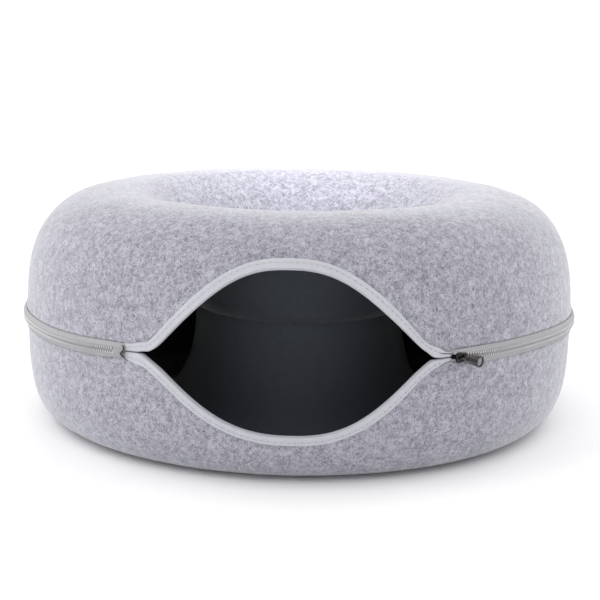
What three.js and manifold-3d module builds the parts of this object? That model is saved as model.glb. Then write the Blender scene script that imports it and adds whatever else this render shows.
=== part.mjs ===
// Round felt play tunnel: two moulded half rings zipped together round the back,
// with an open, bound doorway at the front and an open well through the middle.
// Millimetres, +Z up. The floor is z = 0 and the doorway faces -Y.
// Azimuth runs from the front (-Y) towards +X.

import * as THREE from 'three';
import { mergeVertices } from 'three/addons/utils/BufferGeometryUtils.js';
import Module from 'manifold-3d';

// Felt ring
const RING_RADIUS = 300;
const WELL_RADIUS = 112;
const AXIS_Y = -3;
const FELT_THICKNESS = 3.5;
const SEAM_GAP = 0.3;

// Upper half ring: height over the seam plane and radius of its crest
const UPPER_HEIGHT = 128.3;
const CREST_RADIUS = 194.2;
const UPPER_OUTER_POWER = 2.67;
const UPPER_INNER_POWER = 1.9;

// Lower half ring: depth under the seam plane and the flat ring it stands on
const LOWER_DEPTH = 117.2;
const FOOT_OUTER_RADIUS = 233.5;
const FOOT_INNER_RADIUS = 184;
const LOWER_OUTER_POWER = 3.7;
const LOWER_INNER_POWER = 2.3;

// Felt edge along the zip and the two bowed lips of the doorway, with their bindings' width
const EDGE_OFFSET = 1.9;
const DOOR_LEFT = -33.2;
const DOOR_RIGHT = 28;
const UPPER_LIP = {
  height: 86.9, peak: -2, left: 26, right: 26.9, power: 1.24, bow: 1.27, binding: 8.5,
};
const LOWER_LIP = {
  height: 67.4, peak: -0.9, left: 28.5, right: 25.5, power: 1.2, bow: 1.26, binding: 6.6,
};

// The seam isn't level: it is drawn up beside the doorway and sags at the sides
const SEAM_RISE = [
  { azimuth: -180, rise: 0 },
  { azimuth: -120, rise: -2.6 },
  { azimuth: -78, rise: -4 },
  { azimuth: -62, rise: -3.5 },
  { azimuth: -52, rise: -3.1 },
  { azimuth: -45, rise: -2 },
  { azimuth: -40, rise: -0.8 },
  { azimuth: -35, rise: 0.6 },
  { azimuth: -28, rise: 1.7 },
  { azimuth: 0, rise: 2.4 },
  { azimuth: 27, rise: 2.6 },
  { azimuth: 34, rise: 2.2 },
  { azimuth: 42, rise: 2 },
  { azimuth: 50, rise: 1.7 },
  { azimuth: 58, rise: 0.6 },
  { azimuth: 66, rise: -1.1 },
  { azimuth: 78, rise: -2.9 },
  { azimuth: 120, rise: -1.8 },
  { azimuth: 180, rise: 0 },
];
const RISE_WHOLE_TO = 10;
const RISE_NONE_FROM = 60;
const RISE_LEAST_RADIUS = 200;

// Binding folded over each lip
const BINDING_THICKNESS = 1.2;
const BINDING_END_WIDTH = 5;
const BINDING_INNER_WIDTH = 6.5;
const BINDING_GAP = 0.35;
const BINDING_END_TRIM = 0.1;

// Zip: the two tapes stand proud of the felt and meet at the chain
const TAPE_THICKNESS = 1.2;
const TAPE_PATH = [
  { up: 7.6, out: 1.1 },
  { up: 6.6, out: 2.0 },
  { up: 5.2, out: 2.9 },
  { up: 3.45, out: 3.6 },
];
const CHAIN_SECTION = [
  { up: -3.0, out: 3.1 },
  { up: -2.2, out: 2.3 },
  { up: 2.2, out: 2.3 },
  { up: 3.0, out: 3.1 },
  { up: 3.0, out: 4.1 },
  { up: 2.2, out: 4.9 },
  { up: -2.2, out: 4.9 },
  { up: -3.0, out: 4.1 },
];

// Slider, seated on the chain's front end beside the doorway
const SLIDER_AZIMUTH = 29.55;
const SLIDER_LENGTH = 13;
const SLIDER_NOSE_WIDTH = 10;
const SLIDER_TAIL_WIDTH = 8;
const PLATE_THICKNESS = 1.5;
const PLATE_INNER_OUT = 0.4;
const PLATE_OUTER_OUT = 5.3;
const POST_LENGTH = 4;
const POST_WIDTH = 3;
const CHAIN_START = -1.6;
const BRIDGE_WIDTH = 1.8;
const BRIDGE_START = -3.4;
const BRIDGE_END = 4.2;
const BRIDGE_WALL = 1.2;
const BRIDGE_RISE = 4;

// Pull tab hung on the bridge
const PULL_THICKNESS = 1.5;
const PULL_LENGTH = 24.5;
const PULL_NARROW_WIDTH = 5.6;
const PULL_WIDE_WIDTH = 10.4;
const PULL_EYE_LENGTH = 5.6;
const PULL_EYE_WIDTH = 8.2;
const PULL_SLOT_LENGTH = 2.8;
const PULL_SLOT_WIDTH = 2.9;
const PULL_END_BAR = 1.3;
const PULL_LIFT = 0.7;
const PULL_DROOP = 20;
const PULL_TILT = 2.5;

// Bar tack that closes the zip's far end
const TACK_LENGTH = 3.2;
const TACK_HALF_HEIGHT = 6;
const TACK_OUT = 4.2;

// Facets
const DOOR_STEPS = 21;
const BACK_STEPS = 50;
const OUTER_ROWS = 6;
const INNER_ROWS = 6;
const FIRST_ROW = 11;
const PROFILE_SAMPLES = 400;

const wasm = await Module();
wasm.setup();

// Materials
function cloth(color, roughness) {
  return new THREE.MeshStandardMaterial({ color, roughness, metalness: 0 });
}

const felt = cloth(0xbfbec6, 0.95);
const bindingTape = cloth(0xcfcfd4, 0.85);
const zipTape = cloth(0xb2b2ae, 0.85);
const zipCoil = cloth(0xaeaea8, 0.55);
const thread = cloth(0x55555a, 0.8);
const gunmetal = new THREE.MeshStandardMaterial({ color: 0x4a4a4c, roughness: 0.35, metalness: 0.9 });

// Quarter of a superellipse from the seam plane (t = 0) to the crest or foot (t = 90 degrees)
function quarterPoint(wallRadius, topRadius, height, power, t) {
  const across = Math.pow(Math.cos(t), 2 / power);
  const up = Math.pow(Math.sin(t), 2 / power);
  return new THREE.Vector2(topRadius + (wallRadius - topRadius) * across, height * up);
}

// Skin of one half ring as a run of (radius, height) points from the outer seam to the well seam
function skinPoints(height, outerTop, innerTop, outerPower, innerPower) {
  const points = [];
  for (let i = 0; i <= PROFILE_SAMPLES; i += 1) {
    const t = (i / PROFILE_SAMPLES) * (Math.PI / 2);
    points.push(quarterPoint(RING_RADIUS, outerTop, height, outerPower, t));
  }
  for (let i = PROFILE_SAMPLES; i >= 0; i -= 1) {
    const t = (i / PROFILE_SAMPLES) * (Math.PI / 2);
    points.push(quarterPoint(WELL_RADIUS, innerTop, height, innerPower, t));
  }
  return points;
}

// A skin that can be read by the length walked along it; side is +1 above the seam, -1 below
function makeSkin(side, height, outerTop, innerTop, outerPower, innerPower) {
  const points = skinPoints(height, outerTop, innerTop, outerPower, innerPower);
  const lengths = [0];
  for (let i = 1; i < points.length; i += 1) {
    lengths.push(lengths[i - 1] + points[i].distanceTo(points[i - 1]));
  }
  const total = lengths[lengths.length - 1];
  const outerTopLength = lengths[PROFILE_SAMPLES];
  const innerTopLength = lengths[PROFILE_SAMPLES + 1];

  function segmentAt(length) {
    let low = 0;
    let high = lengths.length - 2;
    while (low < high) {
      const middle = Math.ceil((low + high) / 2);
      if (lengths[middle] <= length) {
        low = middle;
      } else {
        high = middle - 1;
      }
    }
    return low;
  }

  function flatPoint(length) {
    const i = segmentAt(length);
    const span = lengths[i + 1] - lengths[i];
    const share = span > 0 ? (length - lengths[i]) / span : 0;
    return points[i].clone().lerp(points[i + 1], share);
  }

  // Point that lies out of the skin by the given distance (negative is inside the tunnel wall)
  function at(length, out) {
    const here = flatPoint(length);
    const reach = 1.5;
    const before = flatPoint(Math.max(0, length - reach));
    const after = flatPoint(Math.min(total, length + reach));
    const along = after.sub(before).normalize();
    if (length < reach || length > total - reach) {
      along.set(0, length < reach ? 1 : -1);
    }
    return {
      radius: here.x + along.y * out,
      height: side * (here.y - along.x * out),
    };
  }

  // Length walked from the outer seam to a height on the outer wall
  function lengthAtHeight(up) {
    let i = 0;
    while (i < PROFILE_SAMPLES && points[i + 1].y < up) {
      i += 1;
    }
    const share = (up - points[i].y) / (points[i + 1].y - points[i].y);
    return lengths[i] + share * (lengths[i + 1] - lengths[i]);
  }

  return { side, total, outerTopLength, innerTopLength, at, lengthAtHeight };
}

const upperSkin = makeSkin(
  1, UPPER_HEIGHT, CREST_RADIUS, CREST_RADIUS, UPPER_OUTER_POWER, UPPER_INNER_POWER,
);
const lowerSkin = makeSkin(
  -1, LOWER_DEPTH, FOOT_OUTER_RADIUS, FOOT_INNER_RADIUS, LOWER_OUTER_POWER, LOWER_INNER_POWER,
);

// Height of a lip's felt edge over the seam plane
function lipHeight(lip, azimuth) {
  const reach = azimuth < lip.peak ? lip.left : lip.right;
  const share = Math.min(1, Math.abs(azimuth - lip.peak) / reach);
  const swell = Math.pow(Math.cos((Math.PI / 2) * Math.pow(share, lip.bow)), lip.power);
  return EDGE_OFFSET + lip.height * Math.max(0, swell);
}

function lipLength(skin, lip, azimuth) {
  return skin.lengthAtHeight(lipHeight(lip, azimuth));
}

// Azimuths of the facets: fine across the doorway, coarser round the back
function doorAzimuths() {
  const list = [];
  for (let i = 0; i <= DOOR_STEPS; i += 1) {
    list.push(DOOR_LEFT + ((DOOR_RIGHT - DOOR_LEFT) * i) / DOOR_STEPS);
  }
  return list;
}

function backAzimuths() {
  const list = [];
  for (let i = 0; i <= BACK_STEPS; i += 1) {
    list.push(DOOR_RIGHT + ((360 + DOOR_LEFT - DOOR_RIGHT) * i) / BACK_STEPS);
  }
  return list;
}

// Rise of the seam at an azimuth: a smooth curve through the table's rows
function seamRise(azimuth) {
  const turn = THREE.MathUtils.euclideanModulo(azimuth + 180, 360) - 180;
  const last = SEAM_RISE.length - 1;
  let i = 0;
  while (i < last - 1 && SEAM_RISE[i + 1].azimuth <= turn) {
    i += 1;
  }
  const slope = (k) => {
    if (k === 0 || k === last) {
      return 0;
    }
    const before = SEAM_RISE[k - 1];
    const after = SEAM_RISE[k + 1];
    return (after.rise - before.rise) / (after.azimuth - before.azimuth);
  };
  const from = SEAM_RISE[i];
  const to = SEAM_RISE[i + 1];
  const span = to.azimuth - from.azimuth;
  const t = (turn - from.azimuth) / span;
  return (1 + 2 * t) * (1 - t) ** 2 * from.rise + t * (1 - t) ** 2 * span * slope(i)
    + t * t * (3 - 2 * t) * to.rise + t * t * (t - 1) * span * slope(i + 1);
}

// Share of the rise that a point takes: whole beside the zip, none far from it or in the well
function riseShare(radius, height) {
  if (radius < RISE_LEAST_RADIUS) {
    return 0;
  }
  return 1 - THREE.MathUtils.smoothstep(Math.abs(height), RISE_WHOLE_TO, RISE_NONE_FROM);
}

function ringPoint(azimuth, radius, height) {
  const angle = THREE.MathUtils.degToRad(azimuth);
  return new THREE.Vector3(
    radius * Math.sin(angle),
    AXIS_Y - radius * Math.cos(angle),
    LOWER_DEPTH + height + seamRise(azimuth) * riseShare(radius, height),
  );
}

// Sum of signed tetrahedra: positive when the faces point out
function signedVolume(positions, indices) {
  let volume = 0;
  const corner = [new THREE.Vector3(), new THREE.Vector3(), new THREE.Vector3()];
  for (let i = 0; i < indices.length; i += 3) {
    for (let k = 0; k < 3; k += 1) {
      corner[k].fromArray(positions, indices[i + k] * 3);
    }
    volume += corner[0].dot(corner[1].clone().cross(corner[2])) / 6;
  }
  return volume;
}

// Solid through a run of closed sections, joined end to end as a ring or capped;
// each four-sided facet is split along its shorter diagonal
function sweepSections(sections, capOutline) {
  const count = sections[0].length;
  const vertices = sections.flat();
  const positions = vertices.flatMap((point) => [point.x, point.y, point.z]);
  const indices = [];
  const spans = capOutline ? sections.length - 1 : sections.length;
  for (let i = 0; i < spans; i += 1) {
    const next = (i + 1) % sections.length;
    for (let k = 0; k < count; k += 1) {
      const a = i * count + k;
      const b = i * count + ((k + 1) % count);
      const c = next * count + ((k + 1) % count);
      const d = next * count + k;
      const diagonal = vertices[a].distanceTo(vertices[c]) - vertices[b].distanceTo(vertices[d]);
      if (diagonal <= 0) {
        indices.push(a, b, c, a, c, d);
      } else {
        indices.push(a, b, d, b, c, d);
      }
    }
  }
  if (capOutline) {
    const last = (sections.length - 1) * count;
    for (const [a, b, c] of THREE.ShapeUtils.triangulateShape(capOutline, [])) {
      const turn = THREE.ShapeUtils.isClockWise(capOutline) ? 1 : -1;
      if (turn > 0) {
        indices.push(a, b, c, last + a, last + c, last + b);
      } else {
        indices.push(a, c, b, last + a, last + b, last + c);
      }
    }
  }
  if (signedVolume(positions, indices) < 0) {
    for (let i = 0; i < indices.length; i += 3) {
      [indices[i + 1], indices[i + 2]] = [indices[i + 2], indices[i + 1]];
    }
  }
  const geometry = new THREE.BufferGeometry();
  geometry.setAttribute('position', new THREE.Float32BufferAttribute(positions, 3));
  geometry.setIndex(indices);
  geometry.computeVertexNormals();
  return geometry;
}

// Lengths of the rows of one column, closer together beside the felt edge
function rowLengths(skin, edge) {
  const rows = [edge];
  const first = edge + FIRST_ROW;
  for (let i = 0; i <= OUTER_ROWS; i += 1) {
    rows.push(first + ((skin.outerTopLength - first) * i) / OUTER_ROWS);
  }
  const end = skin.total - SEAM_GAP / 2;
  const hasFoot = skin.innerTopLength - skin.outerTopLength > 1;
  for (let i = hasFoot ? 0 : 1; i <= INNER_ROWS; i += 1) {
    rows.push(skin.innerTopLength + ((end - skin.innerTopLength) * i) / INNER_ROWS);
  }
  return rows;
}

// One moulded half ring of felt, its lip cut away at the doorway
function makeShell(skin, lip) {
  const azimuths = [...doorAzimuths(), ...backAzimuths().slice(1, -1)];
  const sections = azimuths.map((azimuth) => {
    const rows = rowLengths(skin, lipLength(skin, lip, azimuth));
    const outer = rows.map((length) => skin.at(length, 0));
    const inner = rows.map((length) => skin.at(length, -FELT_THICKNESS)).reverse();
    return [...outer, ...inner].map((p) => ringPoint(azimuth, p.radius, p.height));
  });
  return sweepSections(sections, null);
}

// Binding section: into the felt from its edge, and out of the felt's face
function bindingSection(width) {
  const gap = BINDING_GAP;
  const far = gap + BINDING_THICKNESS;
  const back = -FELT_THICKNESS;
  return [
    new THREE.Vector2(width, gap),
    new THREE.Vector2(width, far - 0.4),
    new THREE.Vector2(width - 0.6, far),
    new THREE.Vector2(-gap, far),
    new THREE.Vector2(-far, gap),
    new THREE.Vector2(-far, back - gap),
    new THREE.Vector2(-gap, back - far),
    new THREE.Vector2(BINDING_INNER_WIDTH, back - far),
    new THREE.Vector2(BINDING_INNER_WIDTH, back - gap),
    new THREE.Vector2(-gap, back - gap),
    new THREE.Vector2(-gap, gap),
  ];
}

// Width of the binding's face, narrower where it runs in under the zip's ends
function bindingWidth(lip, azimuth) {
  const fromEnd = Math.min(azimuth - DOOR_LEFT, DOOR_RIGHT - azimuth);
  const share = THREE.MathUtils.smoothstep(fromEnd, 0, 14);
  return THREE.MathUtils.lerp(BINDING_END_WIDTH, lip.binding, share);
}

function makeBinding(skin, lip) {
  const azimuths = doorAzimuths();
  const tackSpan = THREE.MathUtils.radToDeg((TACK_LENGTH + 0.3) / RING_RADIUS);
  azimuths[0] += tackSpan + BINDING_END_TRIM;
  azimuths[azimuths.length - 1] -= BINDING_END_TRIM;
  const edge = azimuths.map((azimuth) => new THREE.Vector2(
    THREE.MathUtils.degToRad(azimuth) * RING_RADIUS, lipLength(skin, lip, azimuth),
  ));
  const sections = azimuths.map((azimuth, i) => {
    const before = edge[Math.max(0, i - 1)];
    const after = edge[Math.min(edge.length - 1, i + 1)];
    const along = after.clone().sub(before).normalize();
    if (i === 0 || i === edge.length - 1) {
      along.set(1, 0);
    }
    return bindingSection(bindingWidth(lip, azimuth)).map((p) => {
      const slide = -p.x * along.y;
      const length = edge[i].y + p.x * along.x;
      const q = skin.at(length, p.y);
      return ringPoint(azimuth + THREE.MathUtils.radToDeg(slide / RING_RADIUS), q.radius, q.height);
    });
  });
  return sweepSections(sections, bindingSection(lip.binding));
}

// Strip that follows the zip round the back; each section point has an up and an out
function makeZipStrip(section, startAzimuth) {
  const azimuths = backAzimuths();
  azimuths[0] = startAzimuth;
  const sections = azimuths.map((azimuth) => section.map(
    (p) => ringPoint(azimuth, RING_RADIUS + p.out, p.up),
  ));
  return sweepSections(sections, section.map((p) => new THREE.Vector2(p.up, p.out)));
}

// Section of one zip tape: its curved path given the cloth's thickness
function tapeSection(side) {
  const near = [];
  const far = [];
  TAPE_PATH.forEach((p, i) => {
    const before = TAPE_PATH[Math.max(0, i - 1)];
    const after = TAPE_PATH[Math.min(TAPE_PATH.length - 1, i + 1)];
    const along = new THREE.Vector2(after.up - before.up, after.out - before.out).normalize();
    const half = TAPE_THICKNESS / 2;
    far.push({ up: side * (p.up + along.y * half), out: p.out - along.x * half });
    near.push({ up: side * (p.up - along.y * half), out: p.out + along.x * half });
  });
  return [...far, ...near.reverse()];
}

// manifold-3d is used for joins alone
function toSolid(geometry) {
  const plain = geometry.clone();
  plain.deleteAttribute('normal');
  plain.deleteAttribute('uv');
  const merged = mergeVertices(plain, 1e-4);
  return new wasm.Manifold(new wasm.Mesh({
    numProp: 3,
    vertProperties: new Float32Array(merged.attributes.position.array),
    triVerts: new Uint32Array(merged.index.array),
  }));
}

function joinGeometries(geometries) {
  const solid = geometries.map(toSolid).reduce((whole, piece) => whole.add(piece));
  const mesh = solid.getMesh();
  const geometry = new THREE.BufferGeometry();
  geometry.setAttribute('position', new THREE.Float32BufferAttribute(mesh.vertProperties, 3));
  geometry.setIndex(Array.from(mesh.triVerts));
  geometry.computeVertexNormals();
  return geometry;
}

// Plate lying on the ring's wall: shape across it, thickness outwards (-Y before turning)
function wallPlate(shape, from, thickness) {
  const geometry = new THREE.ExtrudeGeometry(shape, {
    depth: thickness, bevelEnabled: false, curveSegments: 8,
  });
  geometry.translate(0, 0, from);
  geometry.rotateX(Math.PI / 2);
  return geometry;
}

// Outline of a slider plate: broad nose towards the doorway, narrower tail
function sliderOutline() {
  const half = SLIDER_LENGTH / 2;
  const nose = SLIDER_NOSE_WIDTH / 2;
  const tail = SLIDER_TAIL_WIDTH / 2;
  const corner = 1.6;
  const shape = new THREE.Shape();
  shape.moveTo(-half, -nose + corner);
  shape.lineTo(-half, nose - corner);
  shape.lineTo(-half + corner, nose);
  shape.lineTo(-1, nose);
  shape.lineTo(1.5, tail);
  shape.lineTo(half - corner, tail);
  shape.lineTo(half, tail - corner);
  shape.lineTo(half, -tail + corner);
  shape.lineTo(half - corner, -tail);
  shape.lineTo(1.5, -tail);
  shape.lineTo(-1, -nose);
  shape.lineTo(-half + corner, -nose);
  shape.closePath();
  return shape;
}

function rectangle(left, right, bottom, top) {
  const shape = new THREE.Shape();
  shape.moveTo(left, bottom);
  shape.lineTo(right, bottom);
  shape.lineTo(right, top);
  shape.lineTo(left, top);
  shape.closePath();
  return shape;
}

// Bridge that the pull hangs on, drawn from the side and given its width
function makeBridge() {
  const base = PLATE_OUTER_OUT + PLATE_THICKNESS - 0.2;
  const top = PLATE_OUTER_OUT + PLATE_THICKNESS + BRIDGE_RISE;
  const wall = BRIDGE_WALL;
  const shape = new THREE.Shape();
  shape.moveTo(BRIDGE_START, -base);
  shape.lineTo(BRIDGE_START, -top + wall);
  shape.lineTo(BRIDGE_START + wall, -top);
  shape.lineTo(BRIDGE_END - wall, -top);
  shape.lineTo(BRIDGE_END, -top + wall);
  shape.lineTo(BRIDGE_END, -base);
  shape.lineTo(BRIDGE_END - wall, -base);
  shape.lineTo(BRIDGE_END - wall, -top + wall);
  shape.lineTo(BRIDGE_START + wall, -top + wall);
  shape.lineTo(BRIDGE_START + wall, -base);
  shape.closePath();
  const geometry = new THREE.ExtrudeGeometry(shape, { depth: BRIDGE_WIDTH, bevelEnabled: false });
  geometry.translate(0, 0, -BRIDGE_WIDTH / 2);
  return geometry;
}

function makeSlider() {
  const start = -SLIDER_LENGTH / 2;
  const post = rectangle(start, start + POST_LENGTH, -POST_WIDTH / 2, POST_WIDTH / 2);
  const postDepth = PLATE_OUTER_OUT - PLATE_INNER_OUT;
  return joinGeometries([
    wallPlate(sliderOutline(), PLATE_INNER_OUT, PLATE_THICKNESS),
    wallPlate(sliderOutline(), PLATE_OUTER_OUT, PLATE_THICKNESS),
    wallPlate(post, PLATE_INNER_OUT + 0.2, postDepth),
    makeBridge(),
  ]);
}

// Pull tab: narrow at the bridge, flaring to a rounded end with an open eye
function makePull() {
  const narrow = PULL_NARROW_WIDTH / 2;
  const wide = PULL_WIDE_WIDTH / 2;
  const start = -PULL_SLOT_LENGTH / 2 - PULL_END_BAR;
  const end = start + PULL_LENGTH;
  const eyeAt = end - PULL_EYE_LENGTH / 2 - 1.6;
  const shape = new THREE.Shape();
  shape.moveTo(start, -narrow + 0.8);
  shape.lineTo(start, narrow - 0.8);
  shape.lineTo(start + 0.8, narrow);
  shape.lineTo(start + 6, narrow);
  shape.lineTo(end - 4, wide);
  shape.absellipse(end - 4, 0, 4, wide, Math.PI / 2, -Math.PI / 2, true, 0);
  shape.lineTo(start + 6, -narrow);
  shape.lineTo(start + 0.8, -narrow);
  shape.closePath();
  const slot = rectangle(
    -PULL_SLOT_LENGTH / 2, PULL_SLOT_LENGTH / 2, -PULL_SLOT_WIDTH / 2, PULL_SLOT_WIDTH / 2,
  );
  const eye = new THREE.Path();
  eye.absellipse(eyeAt, 0, PULL_EYE_LENGTH / 2, PULL_EYE_WIDTH / 2, 0, 2 * Math.PI, false, 0);
  shape.holes.push(slot, eye);
  return wallPlate(shape, 0, PULL_THICKNESS);
}

function makeTack() {
  const shape = rectangle(0, TACK_LENGTH, -TACK_HALF_HEIGHT, TACK_HALF_HEIGHT);
  return wallPlate(shape, BINDING_GAP, TACK_OUT - BINDING_GAP);
}

// Group whose +X runs along the zip and whose -Y faces out at an azimuth
function wallGroup(azimuth) {
  const group = new THREE.Group();
  group.position.copy(ringPoint(azimuth, RING_RADIUS, 0));
  group.rotation.z = THREE.MathUtils.degToRad(azimuth);
  return group;
}

function addMesh(parent, name, geometry, material) {
  const mesh = new THREE.Mesh(geometry, material);
  mesh.name = name;
  parent.add(mesh);
  return mesh;
}

// Assembly
const tunnel = new THREE.Group();

addMesh(tunnel, 'upper_shell', makeShell(upperSkin, UPPER_LIP), felt);
addMesh(tunnel, 'lower_shell', makeShell(lowerSkin, LOWER_LIP), felt);
addMesh(tunnel, 'upper_binding', makeBinding(upperSkin, UPPER_LIP), bindingTape);
addMesh(tunnel, 'lower_binding', makeBinding(lowerSkin, LOWER_LIP), bindingTape);
addMesh(tunnel, 'zip_tape_upper', makeZipStrip(tapeSection(1), DOOR_RIGHT), zipTape);
addMesh(tunnel, 'zip_tape_lower', makeZipStrip(tapeSection(-1), DOOR_RIGHT), zipTape);

const chainStart = SLIDER_AZIMUTH + THREE.MathUtils.radToDeg(CHAIN_START / RING_RADIUS);
addMesh(tunnel, 'zip_chain', makeZipStrip(CHAIN_SECTION, chainStart), zipCoil);

const sliderGroup = wallGroup(SLIDER_AZIMUTH);
addMesh(sliderGroup, 'zip_slider', makeSlider(), gunmetal);

// The pull turns about the bridge's tail leg
const pullGroup = new THREE.Group();
const legAt = BRIDGE_END - BRIDGE_WALL / 2;
const pullOut = PLATE_OUTER_OUT + PLATE_THICKNESS + PULL_LIFT;
pullGroup.position.set(legAt, -pullOut, 0);
pullGroup.rotation.set(0, THREE.MathUtils.degToRad(PULL_DROOP), THREE.MathUtils.degToRad(PULL_TILT));
addMesh(pullGroup, 'zip_pull', makePull(), gunmetal);
sliderGroup.add(pullGroup);
tunnel.add(sliderGroup);

const tackGap = THREE.MathUtils.radToDeg(0.3 / RING_RADIUS);
const tackGroup = wallGroup(DOOR_LEFT + tackGap);
addMesh(tackGroup, 'zip_end_tack', makeTack(), thread);
tunnel.add(tackGroup);

export default tunnel;
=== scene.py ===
"""Round felt play tunnel: the look of each piece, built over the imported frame. Metres, +Z up."""

import math

import bmesh
import bpy
import numpy as np
from mathutils import Matrix, Vector


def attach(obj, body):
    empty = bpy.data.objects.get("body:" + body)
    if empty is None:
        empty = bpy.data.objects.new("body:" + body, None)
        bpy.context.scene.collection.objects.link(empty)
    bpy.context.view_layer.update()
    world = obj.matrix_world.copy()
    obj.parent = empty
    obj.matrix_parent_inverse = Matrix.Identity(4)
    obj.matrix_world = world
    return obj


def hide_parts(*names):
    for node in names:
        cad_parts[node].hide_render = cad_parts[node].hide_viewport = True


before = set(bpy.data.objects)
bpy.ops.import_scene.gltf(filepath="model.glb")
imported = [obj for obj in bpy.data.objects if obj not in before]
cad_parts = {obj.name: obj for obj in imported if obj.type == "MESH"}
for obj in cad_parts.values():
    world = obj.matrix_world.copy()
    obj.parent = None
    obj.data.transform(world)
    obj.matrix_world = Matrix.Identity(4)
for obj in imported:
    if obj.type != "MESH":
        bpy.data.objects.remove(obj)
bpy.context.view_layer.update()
MM = 1e-3

# Felt ring, as in the solids; azimuths are in degrees, 0 in front and positive to the right
RING_RADIUS = 0.3
WELL_RADIUS = 0.112
AXIS_Y = -0.003
SEAM_Z = 0.1172
FELT = 0.0035
SEAM_GAP = 0.0003
EDGE_OFFSET = 0.0019
DOOR_LEFT = -33.2
DOOR_RIGHT = 28.0
DOOR_MIDDLE = -3
ZIP_END = 360 + DOOR_LEFT
AROUND = 2 * math.pi * RING_RADIUS

# A half has the radii of its outer and inner crest lines and the powers of its two curves, then the
# seeds of its dents. Its lip has the azimuth of its peak, the degrees to its two ends and its curve.
# The lip's binding has a width, a swell at its two corners and a width at its two ends. The lip is
# drawn out, and the binding wider, by humps: azimuth, spread in degrees, size in millimetres.
UPPER = {
    "side": 1, "height": 0.1283, "outer_top": 0.1942, "inner_top": 0.1942,
    "outer_power": 2.67, "inner_power": 1.9, "seeds": (3, 8),
    "lip": {"height": 0.0869, "peak": -2.0, "left": 26.0, "right": 26.9, "power": 1.24, "bow": 1.27,
            "binding": 0.0085, "corners": (0.0007, 0.0009), "end": (0.0055, 0.003),
            "drawn": [(-28.3, 1.5, 1.7), (24.0, 1.2, 1.4)],
            "wider": [(-29.6, 1.0, 0.5), (25.3, 1.6, 2.9)]},
}
LOWER = {
    "side": -1, "height": 0.1172, "outer_top": 0.2335, "inner_top": 0.184,
    "outer_power": 3.7, "inner_power": 2.3, "seeds": (4, 9),
    "lip": {"height": 0.0674, "peak": -0.9, "left": 28.5, "right": 25.5, "power": 1.2, "bow": 1.26,
            "binding": 0.0066, "corners": (0.0014, 0.0014), "end": (0.0055, 0.0035),
            "drawn": [(-28.1, 1.6, 1.2), (24.0, 2.2, 1.3), (19.5, 4.0, 1.0)],
            "wider": [(-30.4, 1.7, 2.1), (-25.8, 2.2, 0.9)]},
}

# Rise of the seam over its plane (azimuth in degrees, rise in millimetres)
SEAM_RISE = [
    (-180, 0), (-120, -2.6), (-78, -4), (-62, -3.5), (-52, -3.1), (-45, -2), (-40, -0.8), (-35, 0.6),
    (-28, 1.7), (0, 2.4), (27, 2.6), (34, 2.2), (42, 2.0), (50, 1.7), (58, 0.6), (66, -1.1), (78, -2.9),
    (120, -1.8), (180, 0),
]
RISE_WHOLE_TO = 0.01
RISE_NONE_FROM = 0.06
RISE_LEAST_RADIUS = 0.2


# Small helpers

def smoothstep(x, low, high):
    t = np.clip((x - low) / (high - low), 0, 1)
    return t * t * (3 - 2 * t)


def hump(x, centre, spread):
    """Smooth rise to 1 at a centre."""
    return np.exp(-(((x - centre) / spread) ** 2))


def humps(azimuth, rows):
    """Sum of humps, each as its azimuth, spread in degrees and size in millimetres."""
    return sum(size * MM * hump(azimuth, place, spread) for place, spread, size in rows)


def walked(*rows):
    """Length walked from the first point of a line to each, from its rows of coordinates."""
    lengths = np.cumsum(np.sqrt(sum(np.diff(row) ** 2 for row in rows)), -1)
    return np.concatenate([0 * lengths[..., :1], lengths], -1)


def stacked(*rows):
    """Points from their coordinates, spread to one shape."""
    return np.stack(np.broadcast_arrays(*rows), -1)


def turned(azimuth):
    """The same azimuth between -180 and 180."""
    return (azimuth + 180) % 360 - 180


def degrees_along(length):
    """Degrees round the ring that a length along the seam covers."""
    return np.degrees(length / RING_RADIUS)


def length_along(degrees):
    return np.radians(degrees) * RING_RADIUS


# Shapes of the ring

QUARTER_POINTS = 1600
SLOPE_REACH = 0.0015
TURN_SPREAD = 0.01


def quarter(wall, top, height, power, t):
    across = np.cos(t) ** (2 / power)
    up = np.sin(t) ** (2 / power)
    return top + (wall - top) * across, height * up


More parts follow.
